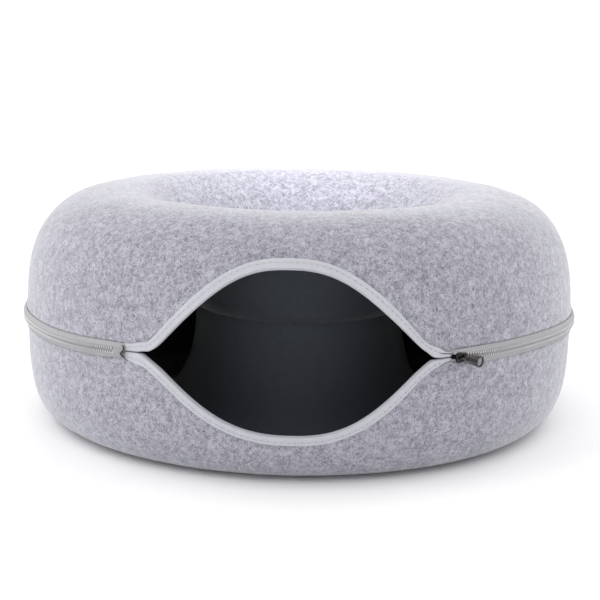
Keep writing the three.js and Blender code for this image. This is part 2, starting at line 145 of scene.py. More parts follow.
class Skin:
    """The outer skin of one half ring, read by the length walked along it from the outer seam."""

    def __init__(self, half):
        t = np.linspace(0, math.pi / 2, QUARTER_POINTS)
        r1, z1 = quarter(RING_RADIUS, half["outer_top"], half["height"], half["outer_power"], t)
        r2, z2 = quarter(WELL_RADIUS, half["inner_top"], half["height"], half["inner_power"], t)
        r = np.concatenate([r1, r2[::-1]])
        z = np.concatenate([z1, z2[::-1]])
        apart = np.concatenate([[True], np.hypot(np.diff(r), np.diff(z)) > 1e-9])
        self.side = half["side"]
        self.seeds = half["seeds"]
        self.lip = half["lip"]
        self.r, self.z = r[apart], z[apart]
        self.s = walked(self.r, self.z)
        self.total = self.s[-1]
        self.outer_top = float(np.interp(half["height"] * 0.99999, z1, self.s[:QUARTER_POINTS]))
        before = np.clip(self.s - SLOPE_REACH, 0, self.total)
        after = np.clip(self.s + SLOPE_REACH, 0, self.total)
        run_r = np.interp(after, self.s, self.r) - np.interp(before, self.s, self.r)
        run_z = np.interp(after, self.s, self.z) - np.interp(before, self.s, self.z)
        size = np.hypot(run_r, run_z)
        self.slope_r, self.slope_z = run_r / size, run_z / size
        self.soft_lip = self.soften_lip()

    def at(self, s, out):
        """(radius, height over the seam) of points that lie out of the skin by a distance."""
        r = np.interp(s, self.s, self.r)
        z = np.interp(s, self.s, self.z)
        slope_r = np.interp(s, self.s, self.slope_r)
        slope_z = np.interp(s, self.s, self.slope_z)
        below = np.minimum(s, 0)
        return r + slope_z * out, self.side * (z + below - slope_r * out)

    def lip_length(self, azimuth):
        """Length along the skin from the seam to the doorway's edge."""
        lip = self.lip
        reach = np.where(azimuth < lip["peak"], lip["left"], lip["right"])
        share = np.clip(np.abs(azimuth - lip["peak"]) / reach, 0, 1)
        swell = np.clip(np.cos(math.pi / 2 * share ** lip["bow"]), 0, 1) ** lip["power"]
        height = EDGE_OFFSET + lip["height"] * swell + humps(azimuth, lip["drawn"])
        wall = slice(QUARTER_POINTS - 1)
        return np.interp(height, self.z[wall], self.s[wall])

    def soften_lip(self):
        """The lip's angle and length, evened out so that its binding has no creases."""
        fine = np.linspace(DOOR_LEFT - 5, DOOR_RIGHT + 5, 3000)
        x = length_along(fine)
        s = self.lip_length(fine)
        walk = walked(x, s)
        even = np.linspace(0, walk[-1], 1500)
        step = even[1]
        count = int(3 * TURN_SPREAD / step)
        kernel = hump(np.arange(-count, count + 1) * step, 0, TURN_SPREAD)
        evened = []
        for values in (np.arctan2(np.gradient(s), np.gradient(x)), s):
            row = np.pad(np.interp(even, walk, values), count, mode="edge")
            soft = np.convolve(row, kernel / kernel.sum(), "valid")
            evened.append(np.interp(walk, even, soft))
        return fine, *evened


upper_skin = Skin(UPPER)
lower_skin = Skin(LOWER)


def seam_rise(azimuth):
    """How far the seam stands over its plane: a smooth curve through the table's rows."""
    at = np.array([row[0] for row in SEAM_RISE], dtype=float)
    up = np.array([row[1] for row in SEAM_RISE]) * MM
    slope = np.zeros(len(at))
    slope[1:-1] = (up[2:] - up[:-2]) / (at[2:] - at[:-2])
    turn = turned(azimuth)
    i = np.clip(np.searchsorted(at, turn, side="right") - 1, 0, len(at) - 2)
    span = at[i + 1] - at[i]
    t = (turn - at[i]) / span
    start = (1 + 2 * t) * (1 - t) ** 2 * up[i] + t * (1 - t) ** 2 * span * slope[i]
    return start + t * t * (3 - 2 * t) * up[i + 1] + t * t * (t - 1) * span * slope[i + 1]


def ring_points(azimuth, radius, height):
    """Points round the ring's axis at heights over the seam's plane, lifted with the seam's rise."""
    a = np.radians(azimuth)
    share = 1 - smoothstep(np.abs(height), RISE_WHOLE_TO, RISE_NONE_FROM)
    share = np.where(radius < RISE_LEAST_RADIUS, 0, share)
    up = SEAM_Z + height + seam_rise(azimuth) * share
    return stacked(radius * np.sin(a), AXIS_Y - radius * np.cos(a), up)


def soft_noise(azimuth, s, seed, waves=9, low=1, high=7):
    """Smooth unevenness that closes round the ring: a sum of a few long waves, about -1 to 1."""
    pick = np.random.default_rng(seed)
    a = np.radians(azimuth)
    total = 0 * a + 0 * s
    for _ in range(waves):
        turns = int(pick.integers(low, high + 1))
        along = pick.uniform(4, 26)
        phase = pick.uniform(0, 2 * math.pi, 2)
        total = total + np.sin(turns * a + phase[0]) * np.cos(along * s + phase[1])
    return total / math.sqrt(waves)


# Mesh helpers

def add_object(name, mesh, nodes=()):
    obj = bpy.data.objects.new(name, mesh)
    bpy.context.collection.objects.link(obj)
    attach(obj, "root")
    if nodes:
        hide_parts(*nodes)
    return obj


def set_surface(mesh, material):
    """Smooth faces in one material."""
    mesh.polygons.foreach_set("use_smooth", [True] * len(mesh.polygons))
    mesh.materials.append(material)


def face_outward(mesh):
    fix = bmesh.new()
    fix.from_mesh(mesh)
    bmesh.ops.recalc_face_normals(fix, faces=fix.faces)
    fix.to_mesh(mesh)
    fix.free()


def lay_on_cloth(mesh, uv, closed_along):
    """Give each corner its place on the flat cloth; a ring's last quads run on past its start."""
    layer = mesh.uv_layers.new(name="cloth")
    loops = np.zeros(len(mesh.loops), dtype=np.int64)
    mesh.loops.foreach_get("vertex_index", loops)
    values = uv.reshape(-1, 2)[loops]
    if closed_along:
        u = values.reshape(-1, 4, 2)[..., 0]
        wrap = (u.max(1) - u.min(1)) > AROUND / 2
        u[wrap] = np.where(u[wrap] < AROUND / 2, u[wrap] + AROUND, u[wrap])
    layer.data.foreach_set("uv", values.astype(np.float32).ravel())


def grid_mesh(name, points, uv, material, closed_along=False):
    """Mesh through a grid of points: rows go round the section, columns along the piece."""
    columns, rows = points.shape[:2]
    index = np.arange(columns * rows).reshape(columns, rows)
    grid = np.concatenate([index, index[:, :1]], 1)
    if closed_along:
        grid = np.concatenate([grid, grid[:1]], 0)
    quads = np.stack([grid[:-1, :-1], grid[1:, :-1], grid[1:, 1:], grid[:-1, 1:]], -1)
    faces = [tuple(q) for q in quads.reshape(-1, 4).tolist()]
    if not closed_along:
        faces.append(tuple(index[0].tolist()))
        faces.append(tuple(index[-1][::-1].tolist()))
    mesh = bpy.data.meshes.new(name)
    mesh.from_pydata(points.reshape(-1, 3).tolist(), [], faces)
    mesh.validate()
    lay_on_cloth(mesh, uv, closed_along)
    set_surface(mesh, material)
    face_outward(mesh)
    return mesh


def add_tube(verts, faces, rings):
    """Add a tube through rings of points, closed at both ends, to a mesh's lists."""
    start, sides = len(verts), len(rings[0])
    for ring in rings:
        verts.extend(tuple(point) for point in ring)
    for i in range(len(rings) - 1):
        for j in range(sides):
            p = start + i * sides + j
            q = start + i * sides + (j + 1) % sides
            faces.append((p, q, q + sides, p + sides))
    faces.append(tuple(range(start, start + sides))[::-1])
    faces.append(tuple(range(len(verts) - sides, len(verts))))


STRAND_SIDES = 6
STRAND_RINGS = 7


def capsule_run(name, strands, material, lift=0.0):
    """One mesh of many short rounded strands, each as its two ends, its upward way and its radius."""
    turns = [2 * math.pi * j / STRAND_SIDES for j in range(STRAND_SIDES)]
    verts, faces = [], []
    for a, b, up, radius in strands:
        length = (b - a).length
        along = (b - a).normalized()
        side = along.cross(up).normalized()
        up = side.cross(along).normalized()
        rings = []
        for t in np.linspace(0, 1, STRAND_RINGS):
            swell = math.sin(math.pi * t)
            centre = a + along * length * t + up * lift * swell
            r = radius * min(1.0, 0.35 + 1.1 * swell ** 0.6)
            rings.append([centre + side * r * math.cos(turn) + up * r * math.sin(turn) for turn in turns])
        add_tube(verts, faces, rings)
    mesh = bpy.data.meshes.new(name)
    mesh.from_pydata(verts, [], faces)
    set_surface(mesh, material)
    add_object(name, mesh)


# Node helpers

class Nodes:
    """Short way to write a tree of shader nodes."""

    def __init__(self, tree):
        self.tree = tree

    def link(self, a, b):
        self.tree.links.new(a, b)

    def set(self, socket, value):
        if isinstance(value, (int, float, tuple, list)):
            socket.default_value = value
        else:
            self.link(value, socket)

    def node(self, kind, **settings):
        n = self.tree.nodes.new(kind)
        for key, value in settings.items():
            setattr(n, key, value)
        return n

    def fill(self, node, **values):
        """Set a node's inputs by name, with an underscore for each space."""
        for key, value in values.items():
            self.set(node.inputs[key.replace("_", " ")], value)
        return node

    def split(self, vector):
        """Outputs X, Y and Z of a vector."""
        n = self.node("ShaderNodeSeparateXYZ")
        self.link(vector, n.inputs[0])
        return n.outputs

    def coords(self, kind, scale=(1, 1, 1), rotation=(0, 0, 0), location=(0, 0, 0)):
        """Coordinates on the flat cloth (UV) or in the piece (Object)."""
        source = self.node("ShaderNodeTexCoord").outputs[kind]
        n = self.node("ShaderNodeMapping")
        return self.fill(n, Vector=source, Scale=scale, Rotation=rotation, Location=location).outputs[0]

    def noise(self, vector, scale, detail, roughness, distortion=0.0, dimensions="3D"):
        n = self.node("ShaderNodeTexNoise", noise_dimensions=dimensions)
        self.fill(n, Vector=vector, Scale=scale, Detail=detail, Roughness=roughness, Distortion=distortion)
        return n.outputs["Fac"]

    def wave(self, vector, direction, scale, distortion=0.0, detail=2.0):
        n = self.node("ShaderNodeTexWave", wave_type="BANDS", bands_direction=direction)
        self.fill(n, Vector=vector, Scale=scale, Distortion=distortion, Detail=detail)
        return n.outputs["Fac"]

    def ramp(self, value, low, high, start=0.0, end=1.0):
        n = self.node("ShaderNodeMapRange", interpolation_type="SMOOTHSTEP")
        self.fill(n, Value=value, From_Min=low, From_Max=high, To_Min=start, To_Max=end)
        return n.outputs["Result"]

    def math(self, operation, a, b=None):
        n = self.node("ShaderNodeMath", operation=operation)
        self.set(n.inputs[0], a)
        if b is not None:
            self.set(n.inputs[1], b)
        return n.outputs[0]

    def total(self, *rows):
        """Sum of values, each times its own weight."""
        parts = [self.math("MULTIPLY", value, weight) for value, weight in rows]
        whole = parts[0]
        for part in parts[1:]:
            whole = self.math("ADD", whole, part)
        return whole

    def mix(self, factor, a, b):
        n = self.node("ShaderNodeMix", data_type="RGBA")
        return self.fill(n, Factor=factor, A=a, B=b).outputs["Result"]

    def bump(self, height, distance, strength):
        n = self.node("ShaderNodeBump")
        return self.fill(n, Height=height, Distance=distance, Strength=strength).outputs["Normal"]


class Surface(Nodes):
    """A material's nodes, which end in one shader."""

    def __init__(self, name):
        self.material = bpy.data.materials.new(name)
        self.material.use_nodes = True
        super().__init__(self.material.node_tree)
        self.tree.nodes.clear()
        out = self.node("ShaderNodeOutputMaterial")
        self.shader = self.node("ShaderNodeBsdfPrincipled")
        self.link(self.shader.outputs[0], out.inputs["Surface"])

    def done(self, **values):
        self.fill(self.shader, **values)
        return self.material


def grey(value, tint=(1, 1, 1)):
    return tuple(value * t for t in tint) + (1.0,)


# Materials

FELT_LIGHT = (0.448, 0.444, 0.514, 1)
FELT_DARK = (0.196, 0.194, 0.2275, 1)
FELT_DARK_HAIR = (0.08, 0.08, 0.093, 1)
FELT_LIGHT_HAIR = (0.58, 0.58, 0.64, 1)
# Painted shade: the inner faces are near-black for the shade deep inside the tunnel, though the felt is the
# same on both sides
FELT_INNER_PAINTED_SHADE = (0.082, 0.094, 0.112, 1)
FELT_INNER_SHADE_SHARE = 0.95
FELT_GRAIN = 1.4
FELT_TUFTS = 1.2
FELT_CLOUDS = 0.7
FELT_TALL = (1, 1, 0.78)
# Hairs, each as their scale, where they lie, how strongly they show and their colour
FELT_HAIRS = [
    (300, (5, 2, 8), 0.85, FELT_DARK_HAIR),
    (420, (1, 9, 3), 0.8, FELT_DARK_HAIR),
    (360, (8, 6, 1), 0.32, FELT_LIGHT_HAIR),
]
# The inner faces lie this far from the outer ones on the flat cloth, and are told apart by it
INNER_SHIFT = 1.0
NYLON_TINT = (1, 0.985, 1.02)


def felt_hairs(n, scale, place):
    """Thin broken lines: where one noise crosses its middle and another is high."""
    path = n.noise(n.coords("Object", location=place), scale, 1, 0.5, 1.2)
    near = n.math("ABSOLUTE", n.math("SUBTRACT", path, 0.5))
    broken = n.ramp(n.noise(n.coords("Object", location=place[::-1]), 260, 1, 0.5), 0.5, 0.62)
    return n.math("MULTIPLY", n.ramp(near, 0.012, 0.035, 1.0, 0.0), broken)


def felt_material():
    """Heathered felt: a mottle of grey hairs, even in every direction; the inner faces carry painted shade,
    near-black.
    """
    n = Surface("felt_heather_inner_shade")
    grain = n.noise(n.coords("Object", scale=FELT_TALL), 850, 2, 0.6, 0.4)
    tufts = n.noise(n.coords("Object", scale=FELT_TALL, location=(3, 1, 2)), 290, 2, 0.6, 0.8)
    clouds = n.noise(n.coords("Object", location=(7, 4, 9)), 110, 2, 0.5)
    mottle = n.total((n.math("SUBTRACT", grain, 0.5), FELT_GRAIN),
                     (n.math("SUBTRACT", tufts, 0.5), FELT_TUFTS),
                     (n.math("SUBTRACT", clouds, 0.5), FELT_CLOUDS))
    colour = n.mix(n.ramp(mottle, -0.5, 0.5), FELT_DARK, FELT_LIGHT)
    for scale, place, share, hair in FELT_HAIRS:
        colour = n.mix(n.math("MULTIPLY", felt_hairs(n, scale, place), share), colour, hair)
    # Painted shade: faces on the inner side of the flat cloth are darkened almost to black
    inner_shade = n.math("GREATER_THAN", n.split(n.coords("UV"))["Y"], INNER_SHIFT / 2)
    colour = n.mix(n.math("MULTIPLY", inner_shade, FELT_INNER_SHADE_SHARE), colour, FELT_INNER_PAINTED_SHADE)
    normal = n.bump(n.total((grain, 0.6), (tufts, 0.8)), 0.0006, 0.5)
    return n.done(Base_Color=colour, Roughness=1.0, Normal=normal, Sheen_Weight=0.5,
                  Sheen_Roughness=0.45, Sheen_Tint=(1, 1, 1, 1), Specular_IOR_Level=0.1)


def tape_material(name, colour, dark, rib, slope, roughness):
    """Woven tape: fine slanting ribs across its length, in metres of cloth."""
    n = Surface(name)
    flat = n.coords("UV")
    ribs = n.wave(n.coords("UV", rotation=(0, 0, slope)), "X", rib, 0.4, 1.0)
    cross = n.wave(flat, "Y", rib * 0.8, 0.3)
    fibre = n.noise(flat, 2600, 2, 0.6, dimensions="2D")
    mottle = n.noise(flat, 120, 2, 0.5, dimensions="2D")
    base = n.mix(n.ramp(ribs, 0.1, 0.7), dark, colour)
    base = n.mix(n.ramp(mottle, 0.35, 0.7, 0.0, 0.35), base, dark)
    normal = n.bump(n.total((ribs, 0.8), (cross, 0.4), (fibre, 0.35)), 0.00022, 0.7)
    return n.done(Base_Color=base, Roughness=roughness, Normal=normal, Sheen_Weight=0.15,
                  Sheen_Roughness=0.5, Specular_IOR_Level=0.3)


def coil_material():
    n = Surface("zip_coil_nylon")
    worn = n.noise(n.coords("Object"), 900, 2, 0.5)
    base = n.mix(n.ramp(worn, 0.3, 0.7), grey(0.52, NYLON_TINT), grey(0.64, NYLON_TINT))
    return n.done(Base_Color=base, Roughness=n.ramp(worn, 0.2, 0.8, 0.42, 0.6), Specular_IOR_Level=0.4)


def thread_material(name, colour, dark):
    n = Surface(name)
    twist = n.wave(n.coords("Object"), "DIAGONAL", 900)
    base = n.mix(n.ramp(twist, 0.1, 0.7), dark, colour)
    return n.done(Base_Color=base, Roughness=0.7, Normal=n.bump(twist, 0.0001, 0.6), Specular_IOR_Level=0.3)


def gunmetal_material():
    """Dark metal, rubbed paler on its edges and finely scratched."""
    n = Surface("gunmetal_plate")
    worn = n.noise(n.coords("Object"), 700, 4, 0.65)
    scratch = n.noise(n.coords("Object", scale=(1, 1, 8)), 1200, 3, 0.6)
    rubbed = n.ramp(n.node("ShaderNodeNewGeometry").outputs["Pointiness"], 0.52, 0.6)
    base = n.mix(n.ramp(worn, 0.35, 0.65), (0.022, 0.02, 0.021, 1), (0.05, 0.046, 0.046, 1))
    base = n.mix(n.math("MULTIPLY", rubbed, 0.5), base, (0.16, 0.147, 0.14, 1))
    return n.done(Base_Color=base, Roughness=n.ramp(scratch, 0.3, 0.7, 0.22, 0.42),
                  Normal=n.bump(worn, 0.00008, 0.5), Metallic=1.0)


# Painted shade: near-black for the shade inside the needle holes
def hole_shade_material():
    n = Surface("needle_hole_painted_shade")
    base = n.mix(n.noise(n.coords("Object"), 2000, 2, 0.5), grey(0.12), grey(0.22, (1, 1, 1.1)))
    return n.done(Base_Color=base, Roughness=0.95, Specular_IOR_Level=0.1)


def floor_material():
    n = Surface("studio_floor")
    base = n.mix(n.noise(n.coords("Object"), 1.5, 2, 0.5), grey(0.92), grey(0.95))
    return n.done(Base_Color=base, Roughness=0.75, Specular_IOR_Level=0.2)


FELT_MAT = felt_material()
BINDING_MAT = tape_material("binding_weave", (0.54, 0.54, 0.59, 1), (0.44, 0.44, 0.48, 1),
                            rib=190, slope=0.9, roughness=0.8)
ZIP_TAPE_MAT = tape_material("zip_tape_weave", (0.36, 0.355, 0.368, 1), (0.30, 0.296, 0.308, 1),
                             rib=260, slope=0.5, roughness=0.9)
# Painted shade: the core under the teeth is near-black, standing in for the shade in the gaps between the
# teeth
ZIP_CORE_SHADE_MAT = tape_material("zip_core_painted_shade", (0.12, 0.118, 0.122, 1), (0.09, 0.088, 0.092, 1),
                             rib=260, slope=0.5, roughness=0.9)
COIL_MAT = coil_material()
THREAD_MAT = thread_material("pale_thread", (0.52, 0.52, 0.56, 1), (0.36, 0.36, 0.40, 1))
DARK_THREAD_MAT = thread_material("dark_thread", (0.06, 0.06, 0.07, 1), (0.02, 0.02, 0.025, 1))
METAL_MAT = gunmetal_material()
HOLE_SHADE_MAT = hole_shade_material()


# Felt shells

# Rows beside the outer edge, in millimetres from it, and rows on the rest of the sheet
NEAR_ROWS = [0, 0.8, 1.8, 3, 4.5, 6, 7.2, 7.9, 8.4, 8.8, 9.4, 10.2, 11.2, 12.5, 14.2, 16.2, 18.5, 21]
REST_ROWS = 80
# The sheet's outer edge: how far its middle bulges, its rows' depths and their places on the cloth
RIM_OUT = 0.0003
RIM_DEPTHS = np.linspace(0.0029, 0.0006, 4)
RIM_CLOTH = np.linspace(0.004, 0.001, 4)
# Dents, long and fine ones; beside the zip's tapes a flare and a groove; a ridge behind the bindings
DENT = 0.0006
FINE_DENT = 0.0003
FLARE, FLARE_AT, FLARE_SPREAD = 0.0013, 0.0098, 0.0045
GROOVE, GROOVE_TO = 0.0002, 0.0081
RIDGE, RIDGE_AT, RIDGE_SPREAD = 0.0006, 0.0135, 0.0035
# Degrees from the doorway's middle: the felt's edge is bound up to one, and zipped from the other
BOUND_TO, ZIPPED_FROM = 31.5, 33.5


def shell_azimuths():
    """Azimuths of the sheet's columns, close together at the doorway."""
    door = np.linspace(DOOR_LEFT - 2, DOOR_RIGHT + 2, 161)
    back = np.linspace(DOOR_RIGHT + 2, ZIP_END - 2, 241)
    return np.concatenate([door, back[1:-1]])


def felt_relief(skin, azimuth, s, edge):
    """How far the felt stands out of its plain form: slight dents, and the seams' pull."""
    dents = DENT * soft_noise(azimuth, s, skin.seeds[0])
    dents = dents + FINE_DENT * soft_noise(azimuth, 3 * s, skin.seeds[1], 12, 9, 30)
    dents = dents * smoothstep(s - edge, 0.004, 0.04) * smoothstep(skin.total - s, 0.0, 0.03)
    if skin.side < 0:
        over_foot = LOWER["height"] + skin.at(s, 0)[1]
        dents = dents * smoothstep(over_foot, 0.0, 0.012)
    outer = smoothstep(skin.outer_top - s, -0.01, 0.02)
    zipped = smoothstep(np.abs(turned(azimuth - DOOR_MIDDLE)), BOUND_TO, ZIPPED_FROM)
    flare = FLARE * hump(s, FLARE_AT, FLARE_SPREAD) * smoothstep(s, 0.0071, 0.0085)
    groove = -GROOVE * smoothstep(GROOVE_TO - s, 0.0, 0.0008)
    ridge = RIDGE * hump(s - edge, RIDGE_AT, RIDGE_SPREAD)
    return dents + outer * (zipped * (flare + groove) + (1 - zipped) * ridge)


def felt_rows(skin, edge):
    """Lengths of a column's rows along the skin, dense beside the outer edge."""
    near = edge[:, None] + np.array(NEAR_ROWS) * MM
    start = near[:, -1:]
    end = skin.total - SEAM_GAP / 2
    return np.concatenate([near, start + (end - start) * np.linspace(0, 1, REST_ROWS)[1:]], 1)


def make_felt(name, skin, node):
    """Half a ring of felt as one closed sheet: its outer face, its inner face and its outer edge."""
    azimuth = shell_azimuths()[:, None]
    edge = skin.lip_length(turned(azimuth))
    rows = felt_rows(skin, edge[:, 0])
    inner_rows = rows[:, ::-1][:, ::3]
    relief = felt_relief(skin, turned(azimuth), rows, edge)
    outer = ring_points(azimuth, *skin.at(rows, relief))
    inner = ring_points(azimuth, *skin.at(inner_rows, -FELT))
    rim = ring_points(azimuth, *skin.at(rows[:, :1] - RIM_OUT, -RIM_DEPTHS))
    u = length_along(azimuth)
    v = np.concatenate([rows * skin.side, inner_rows * skin.side + INNER_SHIFT,
                        (rows[:, :1] + RIM_CLOTH) * skin.side], 1)
    uv = stacked(np.where(u < 0, u + AROUND, u), v)
    points = np.concatenate([outer, inner, rim], 1)
    mesh = grid_mesh(name, points, uv, FELT_MAT, closed_along=True)
    obj = add_object(name, mesh, [node])


make_felt("felt_upper", upper_skin, "upper_shell")
make_felt("felt_lower", lower_skin, "lower_shell")


# Bindings

# Thickness, gap to the felt and width inside, as in the solids
BINDING = 0.0012
BINDING_GAP = 0.00035
BINDING_INNER_WIDTH = 0.0065
# The tape's flat width, the distance between its columns, and its two ends
BINDING_STEP = 0.0016
BINDING_FROM = DOOR_LEFT + degrees_along(0.0016)
BINDING_TO = DOOR_RIGHT + degrees_along(0.0014)
# Degrees over which it widens from an end, and where it swells at a corner
END_REACH = 14
CORNER_FROM_END = 3.7
CORNER_SPREAD = 1.7
# How far from its edge a binding follows the lip's own line before it takes the evened one
EASE_FROM, EASE_TO = 0.001, 0.008
FACE_POINTS = 14
# The face: the stitches' groove and its beat, the rounding of its far edge, and its belly
STITCH_GROOVE, STITCH_GROOVE_SPREAD = 0.00028, 0.0006
STITCH_BEAT, STITCH_BEAT_SPREAD = 0.00012, 0.0016
FACE_ROUNDING = 0.0005
FACE_BELLY = 0.00012
# The stitches along its middle, and between them dark marks of painted shade for the needle holes
STITCH_PITCH = 0.0062
STITCH_RADIUS = 0.00026
STITCH_SINK = 0.0002
STITCH_LIFT = 0.00012
HOLE_RADIUS = 0.00034
HOLE_REACH = 0.0006
HOLE_LIFT = 0.00005


def lip_points(skin, azimuth, into, out):
    """Points beside a lip: into the felt from its edge, and out of its face."""
    fine, angles, lengths = skin.soft_lip
    turn = np.interp(azimuth, fine, angles)[:, None]
    s = skin.lip_length(azimuth)[:, None]
    ease = np.maximum(np.interp(azimuth, fine, lengths)[:, None] - s, 0)
    length = s + into * np.cos(turn) + ease * smoothstep(into, EASE_FROM, EASE_TO)
    slide = -into * np.sin(turn)
    return ring_points(azimuth[:, None] + degrees_along(slide), *skin.at(length, out))


def binding_width(skin, azimuth):
    """Width of a binding's face: narrow at its ends, wide where it turns out of the doorway's corner."""
    lip = skin.lip
    left = azimuth < lip["peak"]
    from_end = np.where(left, azimuth - DOOR_LEFT, DOOR_RIGHT - azimuth)
    end = np.where(left, *lip["end"])
    swell = np.where(left, *lip["corners"])
    plain = end + (lip["binding"] - end) * smoothstep(from_end, 0, END_REACH)
    return plain + swell * hump(from_end, CORNER_FROM_END, CORNER_SPREAD) + humps(azimuth, lip["wider"])


def even_azimuths(skin, low, high, step):
    """Azimuths at even steps of length along a lip, and the whole length."""
    fine = np.linspace(low, high, 4000)
    walk = walked(length_along(fine), skin.lip_length(fine))
    count = int(round(walk[-1] / step))
    return np.interp(np.linspace(0, walk[-1], count + 1), walk, fine), walk[-1]


def binding_section(width, beat):
    """Points round a binding's section: its face, its round edge, its back and its side on the felt."""
    far = BINDING_GAP + BINDING
    share = np.linspace(1, 0, FACE_POINTS)
    from_stitch = (share - 0.5) * width
    face = far - STITCH_GROOVE * hump(from_stitch, 0, STITCH_GROOVE_SPREAD)
    face = face - FACE_ROUNDING * smoothstep(share, 0.93, 1.0) + FACE_BELLY * np.sin(math.pi * share)
    face = face + STITCH_BEAT * beat * hump(from_stitch, 0, STITCH_BEAT_SPREAD)
    turn = np.linspace(0, math.pi, 13)[1:-1]
    rows = [
        (share * width, face),
        (-BINDING_GAP - BINDING * np.sin(turn) ** 0.5, -FELT / 2 + (FELT / 2 + far) * np.cos(turn)),
        (np.linspace(0, BINDING_INNER_WIDTH, 6), -FELT - far),
        (np.linspace(BINDING_INNER_WIDTH, 0, 4), -FELT - BINDING_GAP),
        (-BINDING_GAP, np.array([-FELT - BINDING_GAP, BINDING_GAP])),
        (np.linspace(0, 1, 4) * width, BINDING_GAP),
    ]
    whole = [np.broadcast_arrays(into, out, width)[:2] for into, out in rows]
    return [np.concatenate(part, 1) for part in zip(*whole)]


def make_binding(name, skin, node):
    """Woven tape folded over a lip."""
    azimuth, long = even_azimuths(skin, BINDING_FROM, BINDING_TO, BINDING_STEP)
    width = binding_width(skin, azimuth)[:, None]
    beat = np.sin(np.arange(len(azimuth)) * BINDING_STEP / STITCH_PITCH * 2 * math.pi)[:, None]
    into, out = binding_section(width, beat)
    points = lip_points(skin, azimuth, into, out)
    along = walked(*points[:, FACE_POINTS // 2].T)[:, None]
    mesh = grid_mesh(name, points, stacked(along, walked(into, out)), BINDING_MAT)
    obj = add_object(name, mesh, [node])


def make_stitches(name, skin):
    """A run of stitches along the middle of the binding, with dark marks of painted shade for the needle
    holes between them.
    """
    azimuth, _ = even_azimuths(skin, BINDING_FROM + 0.3, BINDING_TO - 0.2, STITCH_PITCH)
    middle = 0.5 * binding_width(skin, azimuth)[:, None]
    surface = BINDING_GAP + BINDING - STITCH_SINK
    low = [Vector(p) for p in lip_points(skin, azimuth, middle, surface)[:, 0]]
    high = [Vector(p) for p in lip_points(skin, azimuth, middle, surface + 0.002)[:, 0]]
    ups = [b - a for a, b in zip(low, high)]
    strands, hole_shades = [], []
    for a, b, up in zip(low, low[1:], ups):
        strands.append((a.lerp(b, 0.1), a.lerp(b, 0.9), up, STITCH_RADIUS))
    for before, place, after, up in zip(low, low[1:], low[2:], ups[1:]):
        reach = (after - before).normalized() * HOLE_REACH
        centre = place + up.normalized() * HOLE_LIFT
        hole_shades.append((centre - reach, centre + reach, up, HOLE_RADIUS))
    capsule_run(name, strands, THREAD_MAT, lift=STITCH_LIFT)
    capsule_run(name + "_holes", hole_shades, HOLE_SHADE_MAT)


make_binding("binding_upper", upper_skin, "upper_binding")
make_binding("binding_lower", lower_skin, "lower_binding")
make_stitches("stitches_upper", upper_skin)
make_stitches("stitches_lower", lower_skin)


# Zip

ZIP_STEP = 0.75
# Thickness, as in the solids
TAPE = 0.0012
TAPE_TAIL = 0.0022
# Middle line of a tape, from its felt-side edge to the chain: (up, out) in millimetres
TAPE_PATH = [(7.6, 1.1), (6.6, 2.0), (5.2, 2.9), (3.2, 3.5)]
# Its raised edge, and the raised line along it
TAPE_WELT, TAPE_LINE = 0.00018, 0.0001
# Shares of a tape's height that are lost at the slider and at the far end, by side
TAPE_TAPERS = {1: (0.12, 0.08), -1: (0.42, 0.28)}
# How far a tape sinks in at its tail and at its head, and the head's length
TAIL_SINK = 0.0014
HEAD_SINK = 0.0022
HEAD_LENGTH = 0.004
# The slider's azimuth in the solids, and a little further on, where the photo shows it
SLIDER_AZIMUTH = 29.55
SLIDER_SHOWN = 29.9
CHAIN_FROM = SLIDER_AZIMUTH - degrees_along(0.0016)
# The teeth stop this far before the zip's end
BARE_END = 0.0085
COIL_PITCH = 0.003
# A coil tooth from its outer end to past the middle: (up, out, radius) in millimetres
TOOTH = [(3.3, 3.4, 0.5), (3.15, 4.0, 0.78), (2.6, 4.4, 0.86), (1.9, 4.42, 0.86),
         (1.1, 4.2, 0.7), (0.4, 3.85, 0.5), (-0.2, 3.6, 0.4)]
TOOTH_SIDES = 5
TOOTH_LONG = 1.05
TOOTH_FLAT = 0.8
# The core between the tapes: how far it sinks at the far end, and its width as flat cloth
CORE_SINK = 0.0009
CORE_CLOTH = 0.014


def wall_matrix(azimuth):
    """Local +X runs along the zip, -Y faces out of the ring, +Z is up."""
    angle = math.radians(azimuth)
    up = SEAM_Z + float(seam_rise(azimuth))
    place = Vector((RING_RADIUS * math.sin(angle), AXIS_Y - RING_RADIUS * math.cos(angle), up))
    return Matrix.Translation(place) @ Matrix.Rotation(angle, 4, "Z")


def on_wall(place, along, out, up):
    """Point in millimetres from a place on the wall: along the zip, out of the ring and up."""
    return place @ (Vector((along, -out, up)) * MM)


def outward(place):
    return place.to_3x3() @ Vector((0, -1, 0))


def tape_section(side):
    """Closed section of a tape, as (up, out): its outer line, then back along its inner one."""
    path = np.array(TAPE_PATH) * MM
    share = np.linspace(0, 1, 15)
    up = np.interp(share, np.linspace(0, 1, len(path)), path[:, 0])
    out = np.polyval(np.polyfit(path[:, 0], path[:, 1], 3), up)
    run_up, run_out = np.gradient(up), np.gradient(out)
    size = np.hypot(run_up, run_out)
    normal_up, normal_out = -run_out / size, run_up / size
    half = TAPE / 2
    thick = half + TAPE_WELT * hump(share, 0, 0.12) + TAPE_LINE * hump(share, 0.33, 0.05)
    section_up = np.concatenate([up - normal_up * thick, (up + normal_up * half)[::-1]])
    section_out = np.concatenate([out - normal_out * thick, (out + normal_out * half)[::-1]])
    return side * section_up, section_out


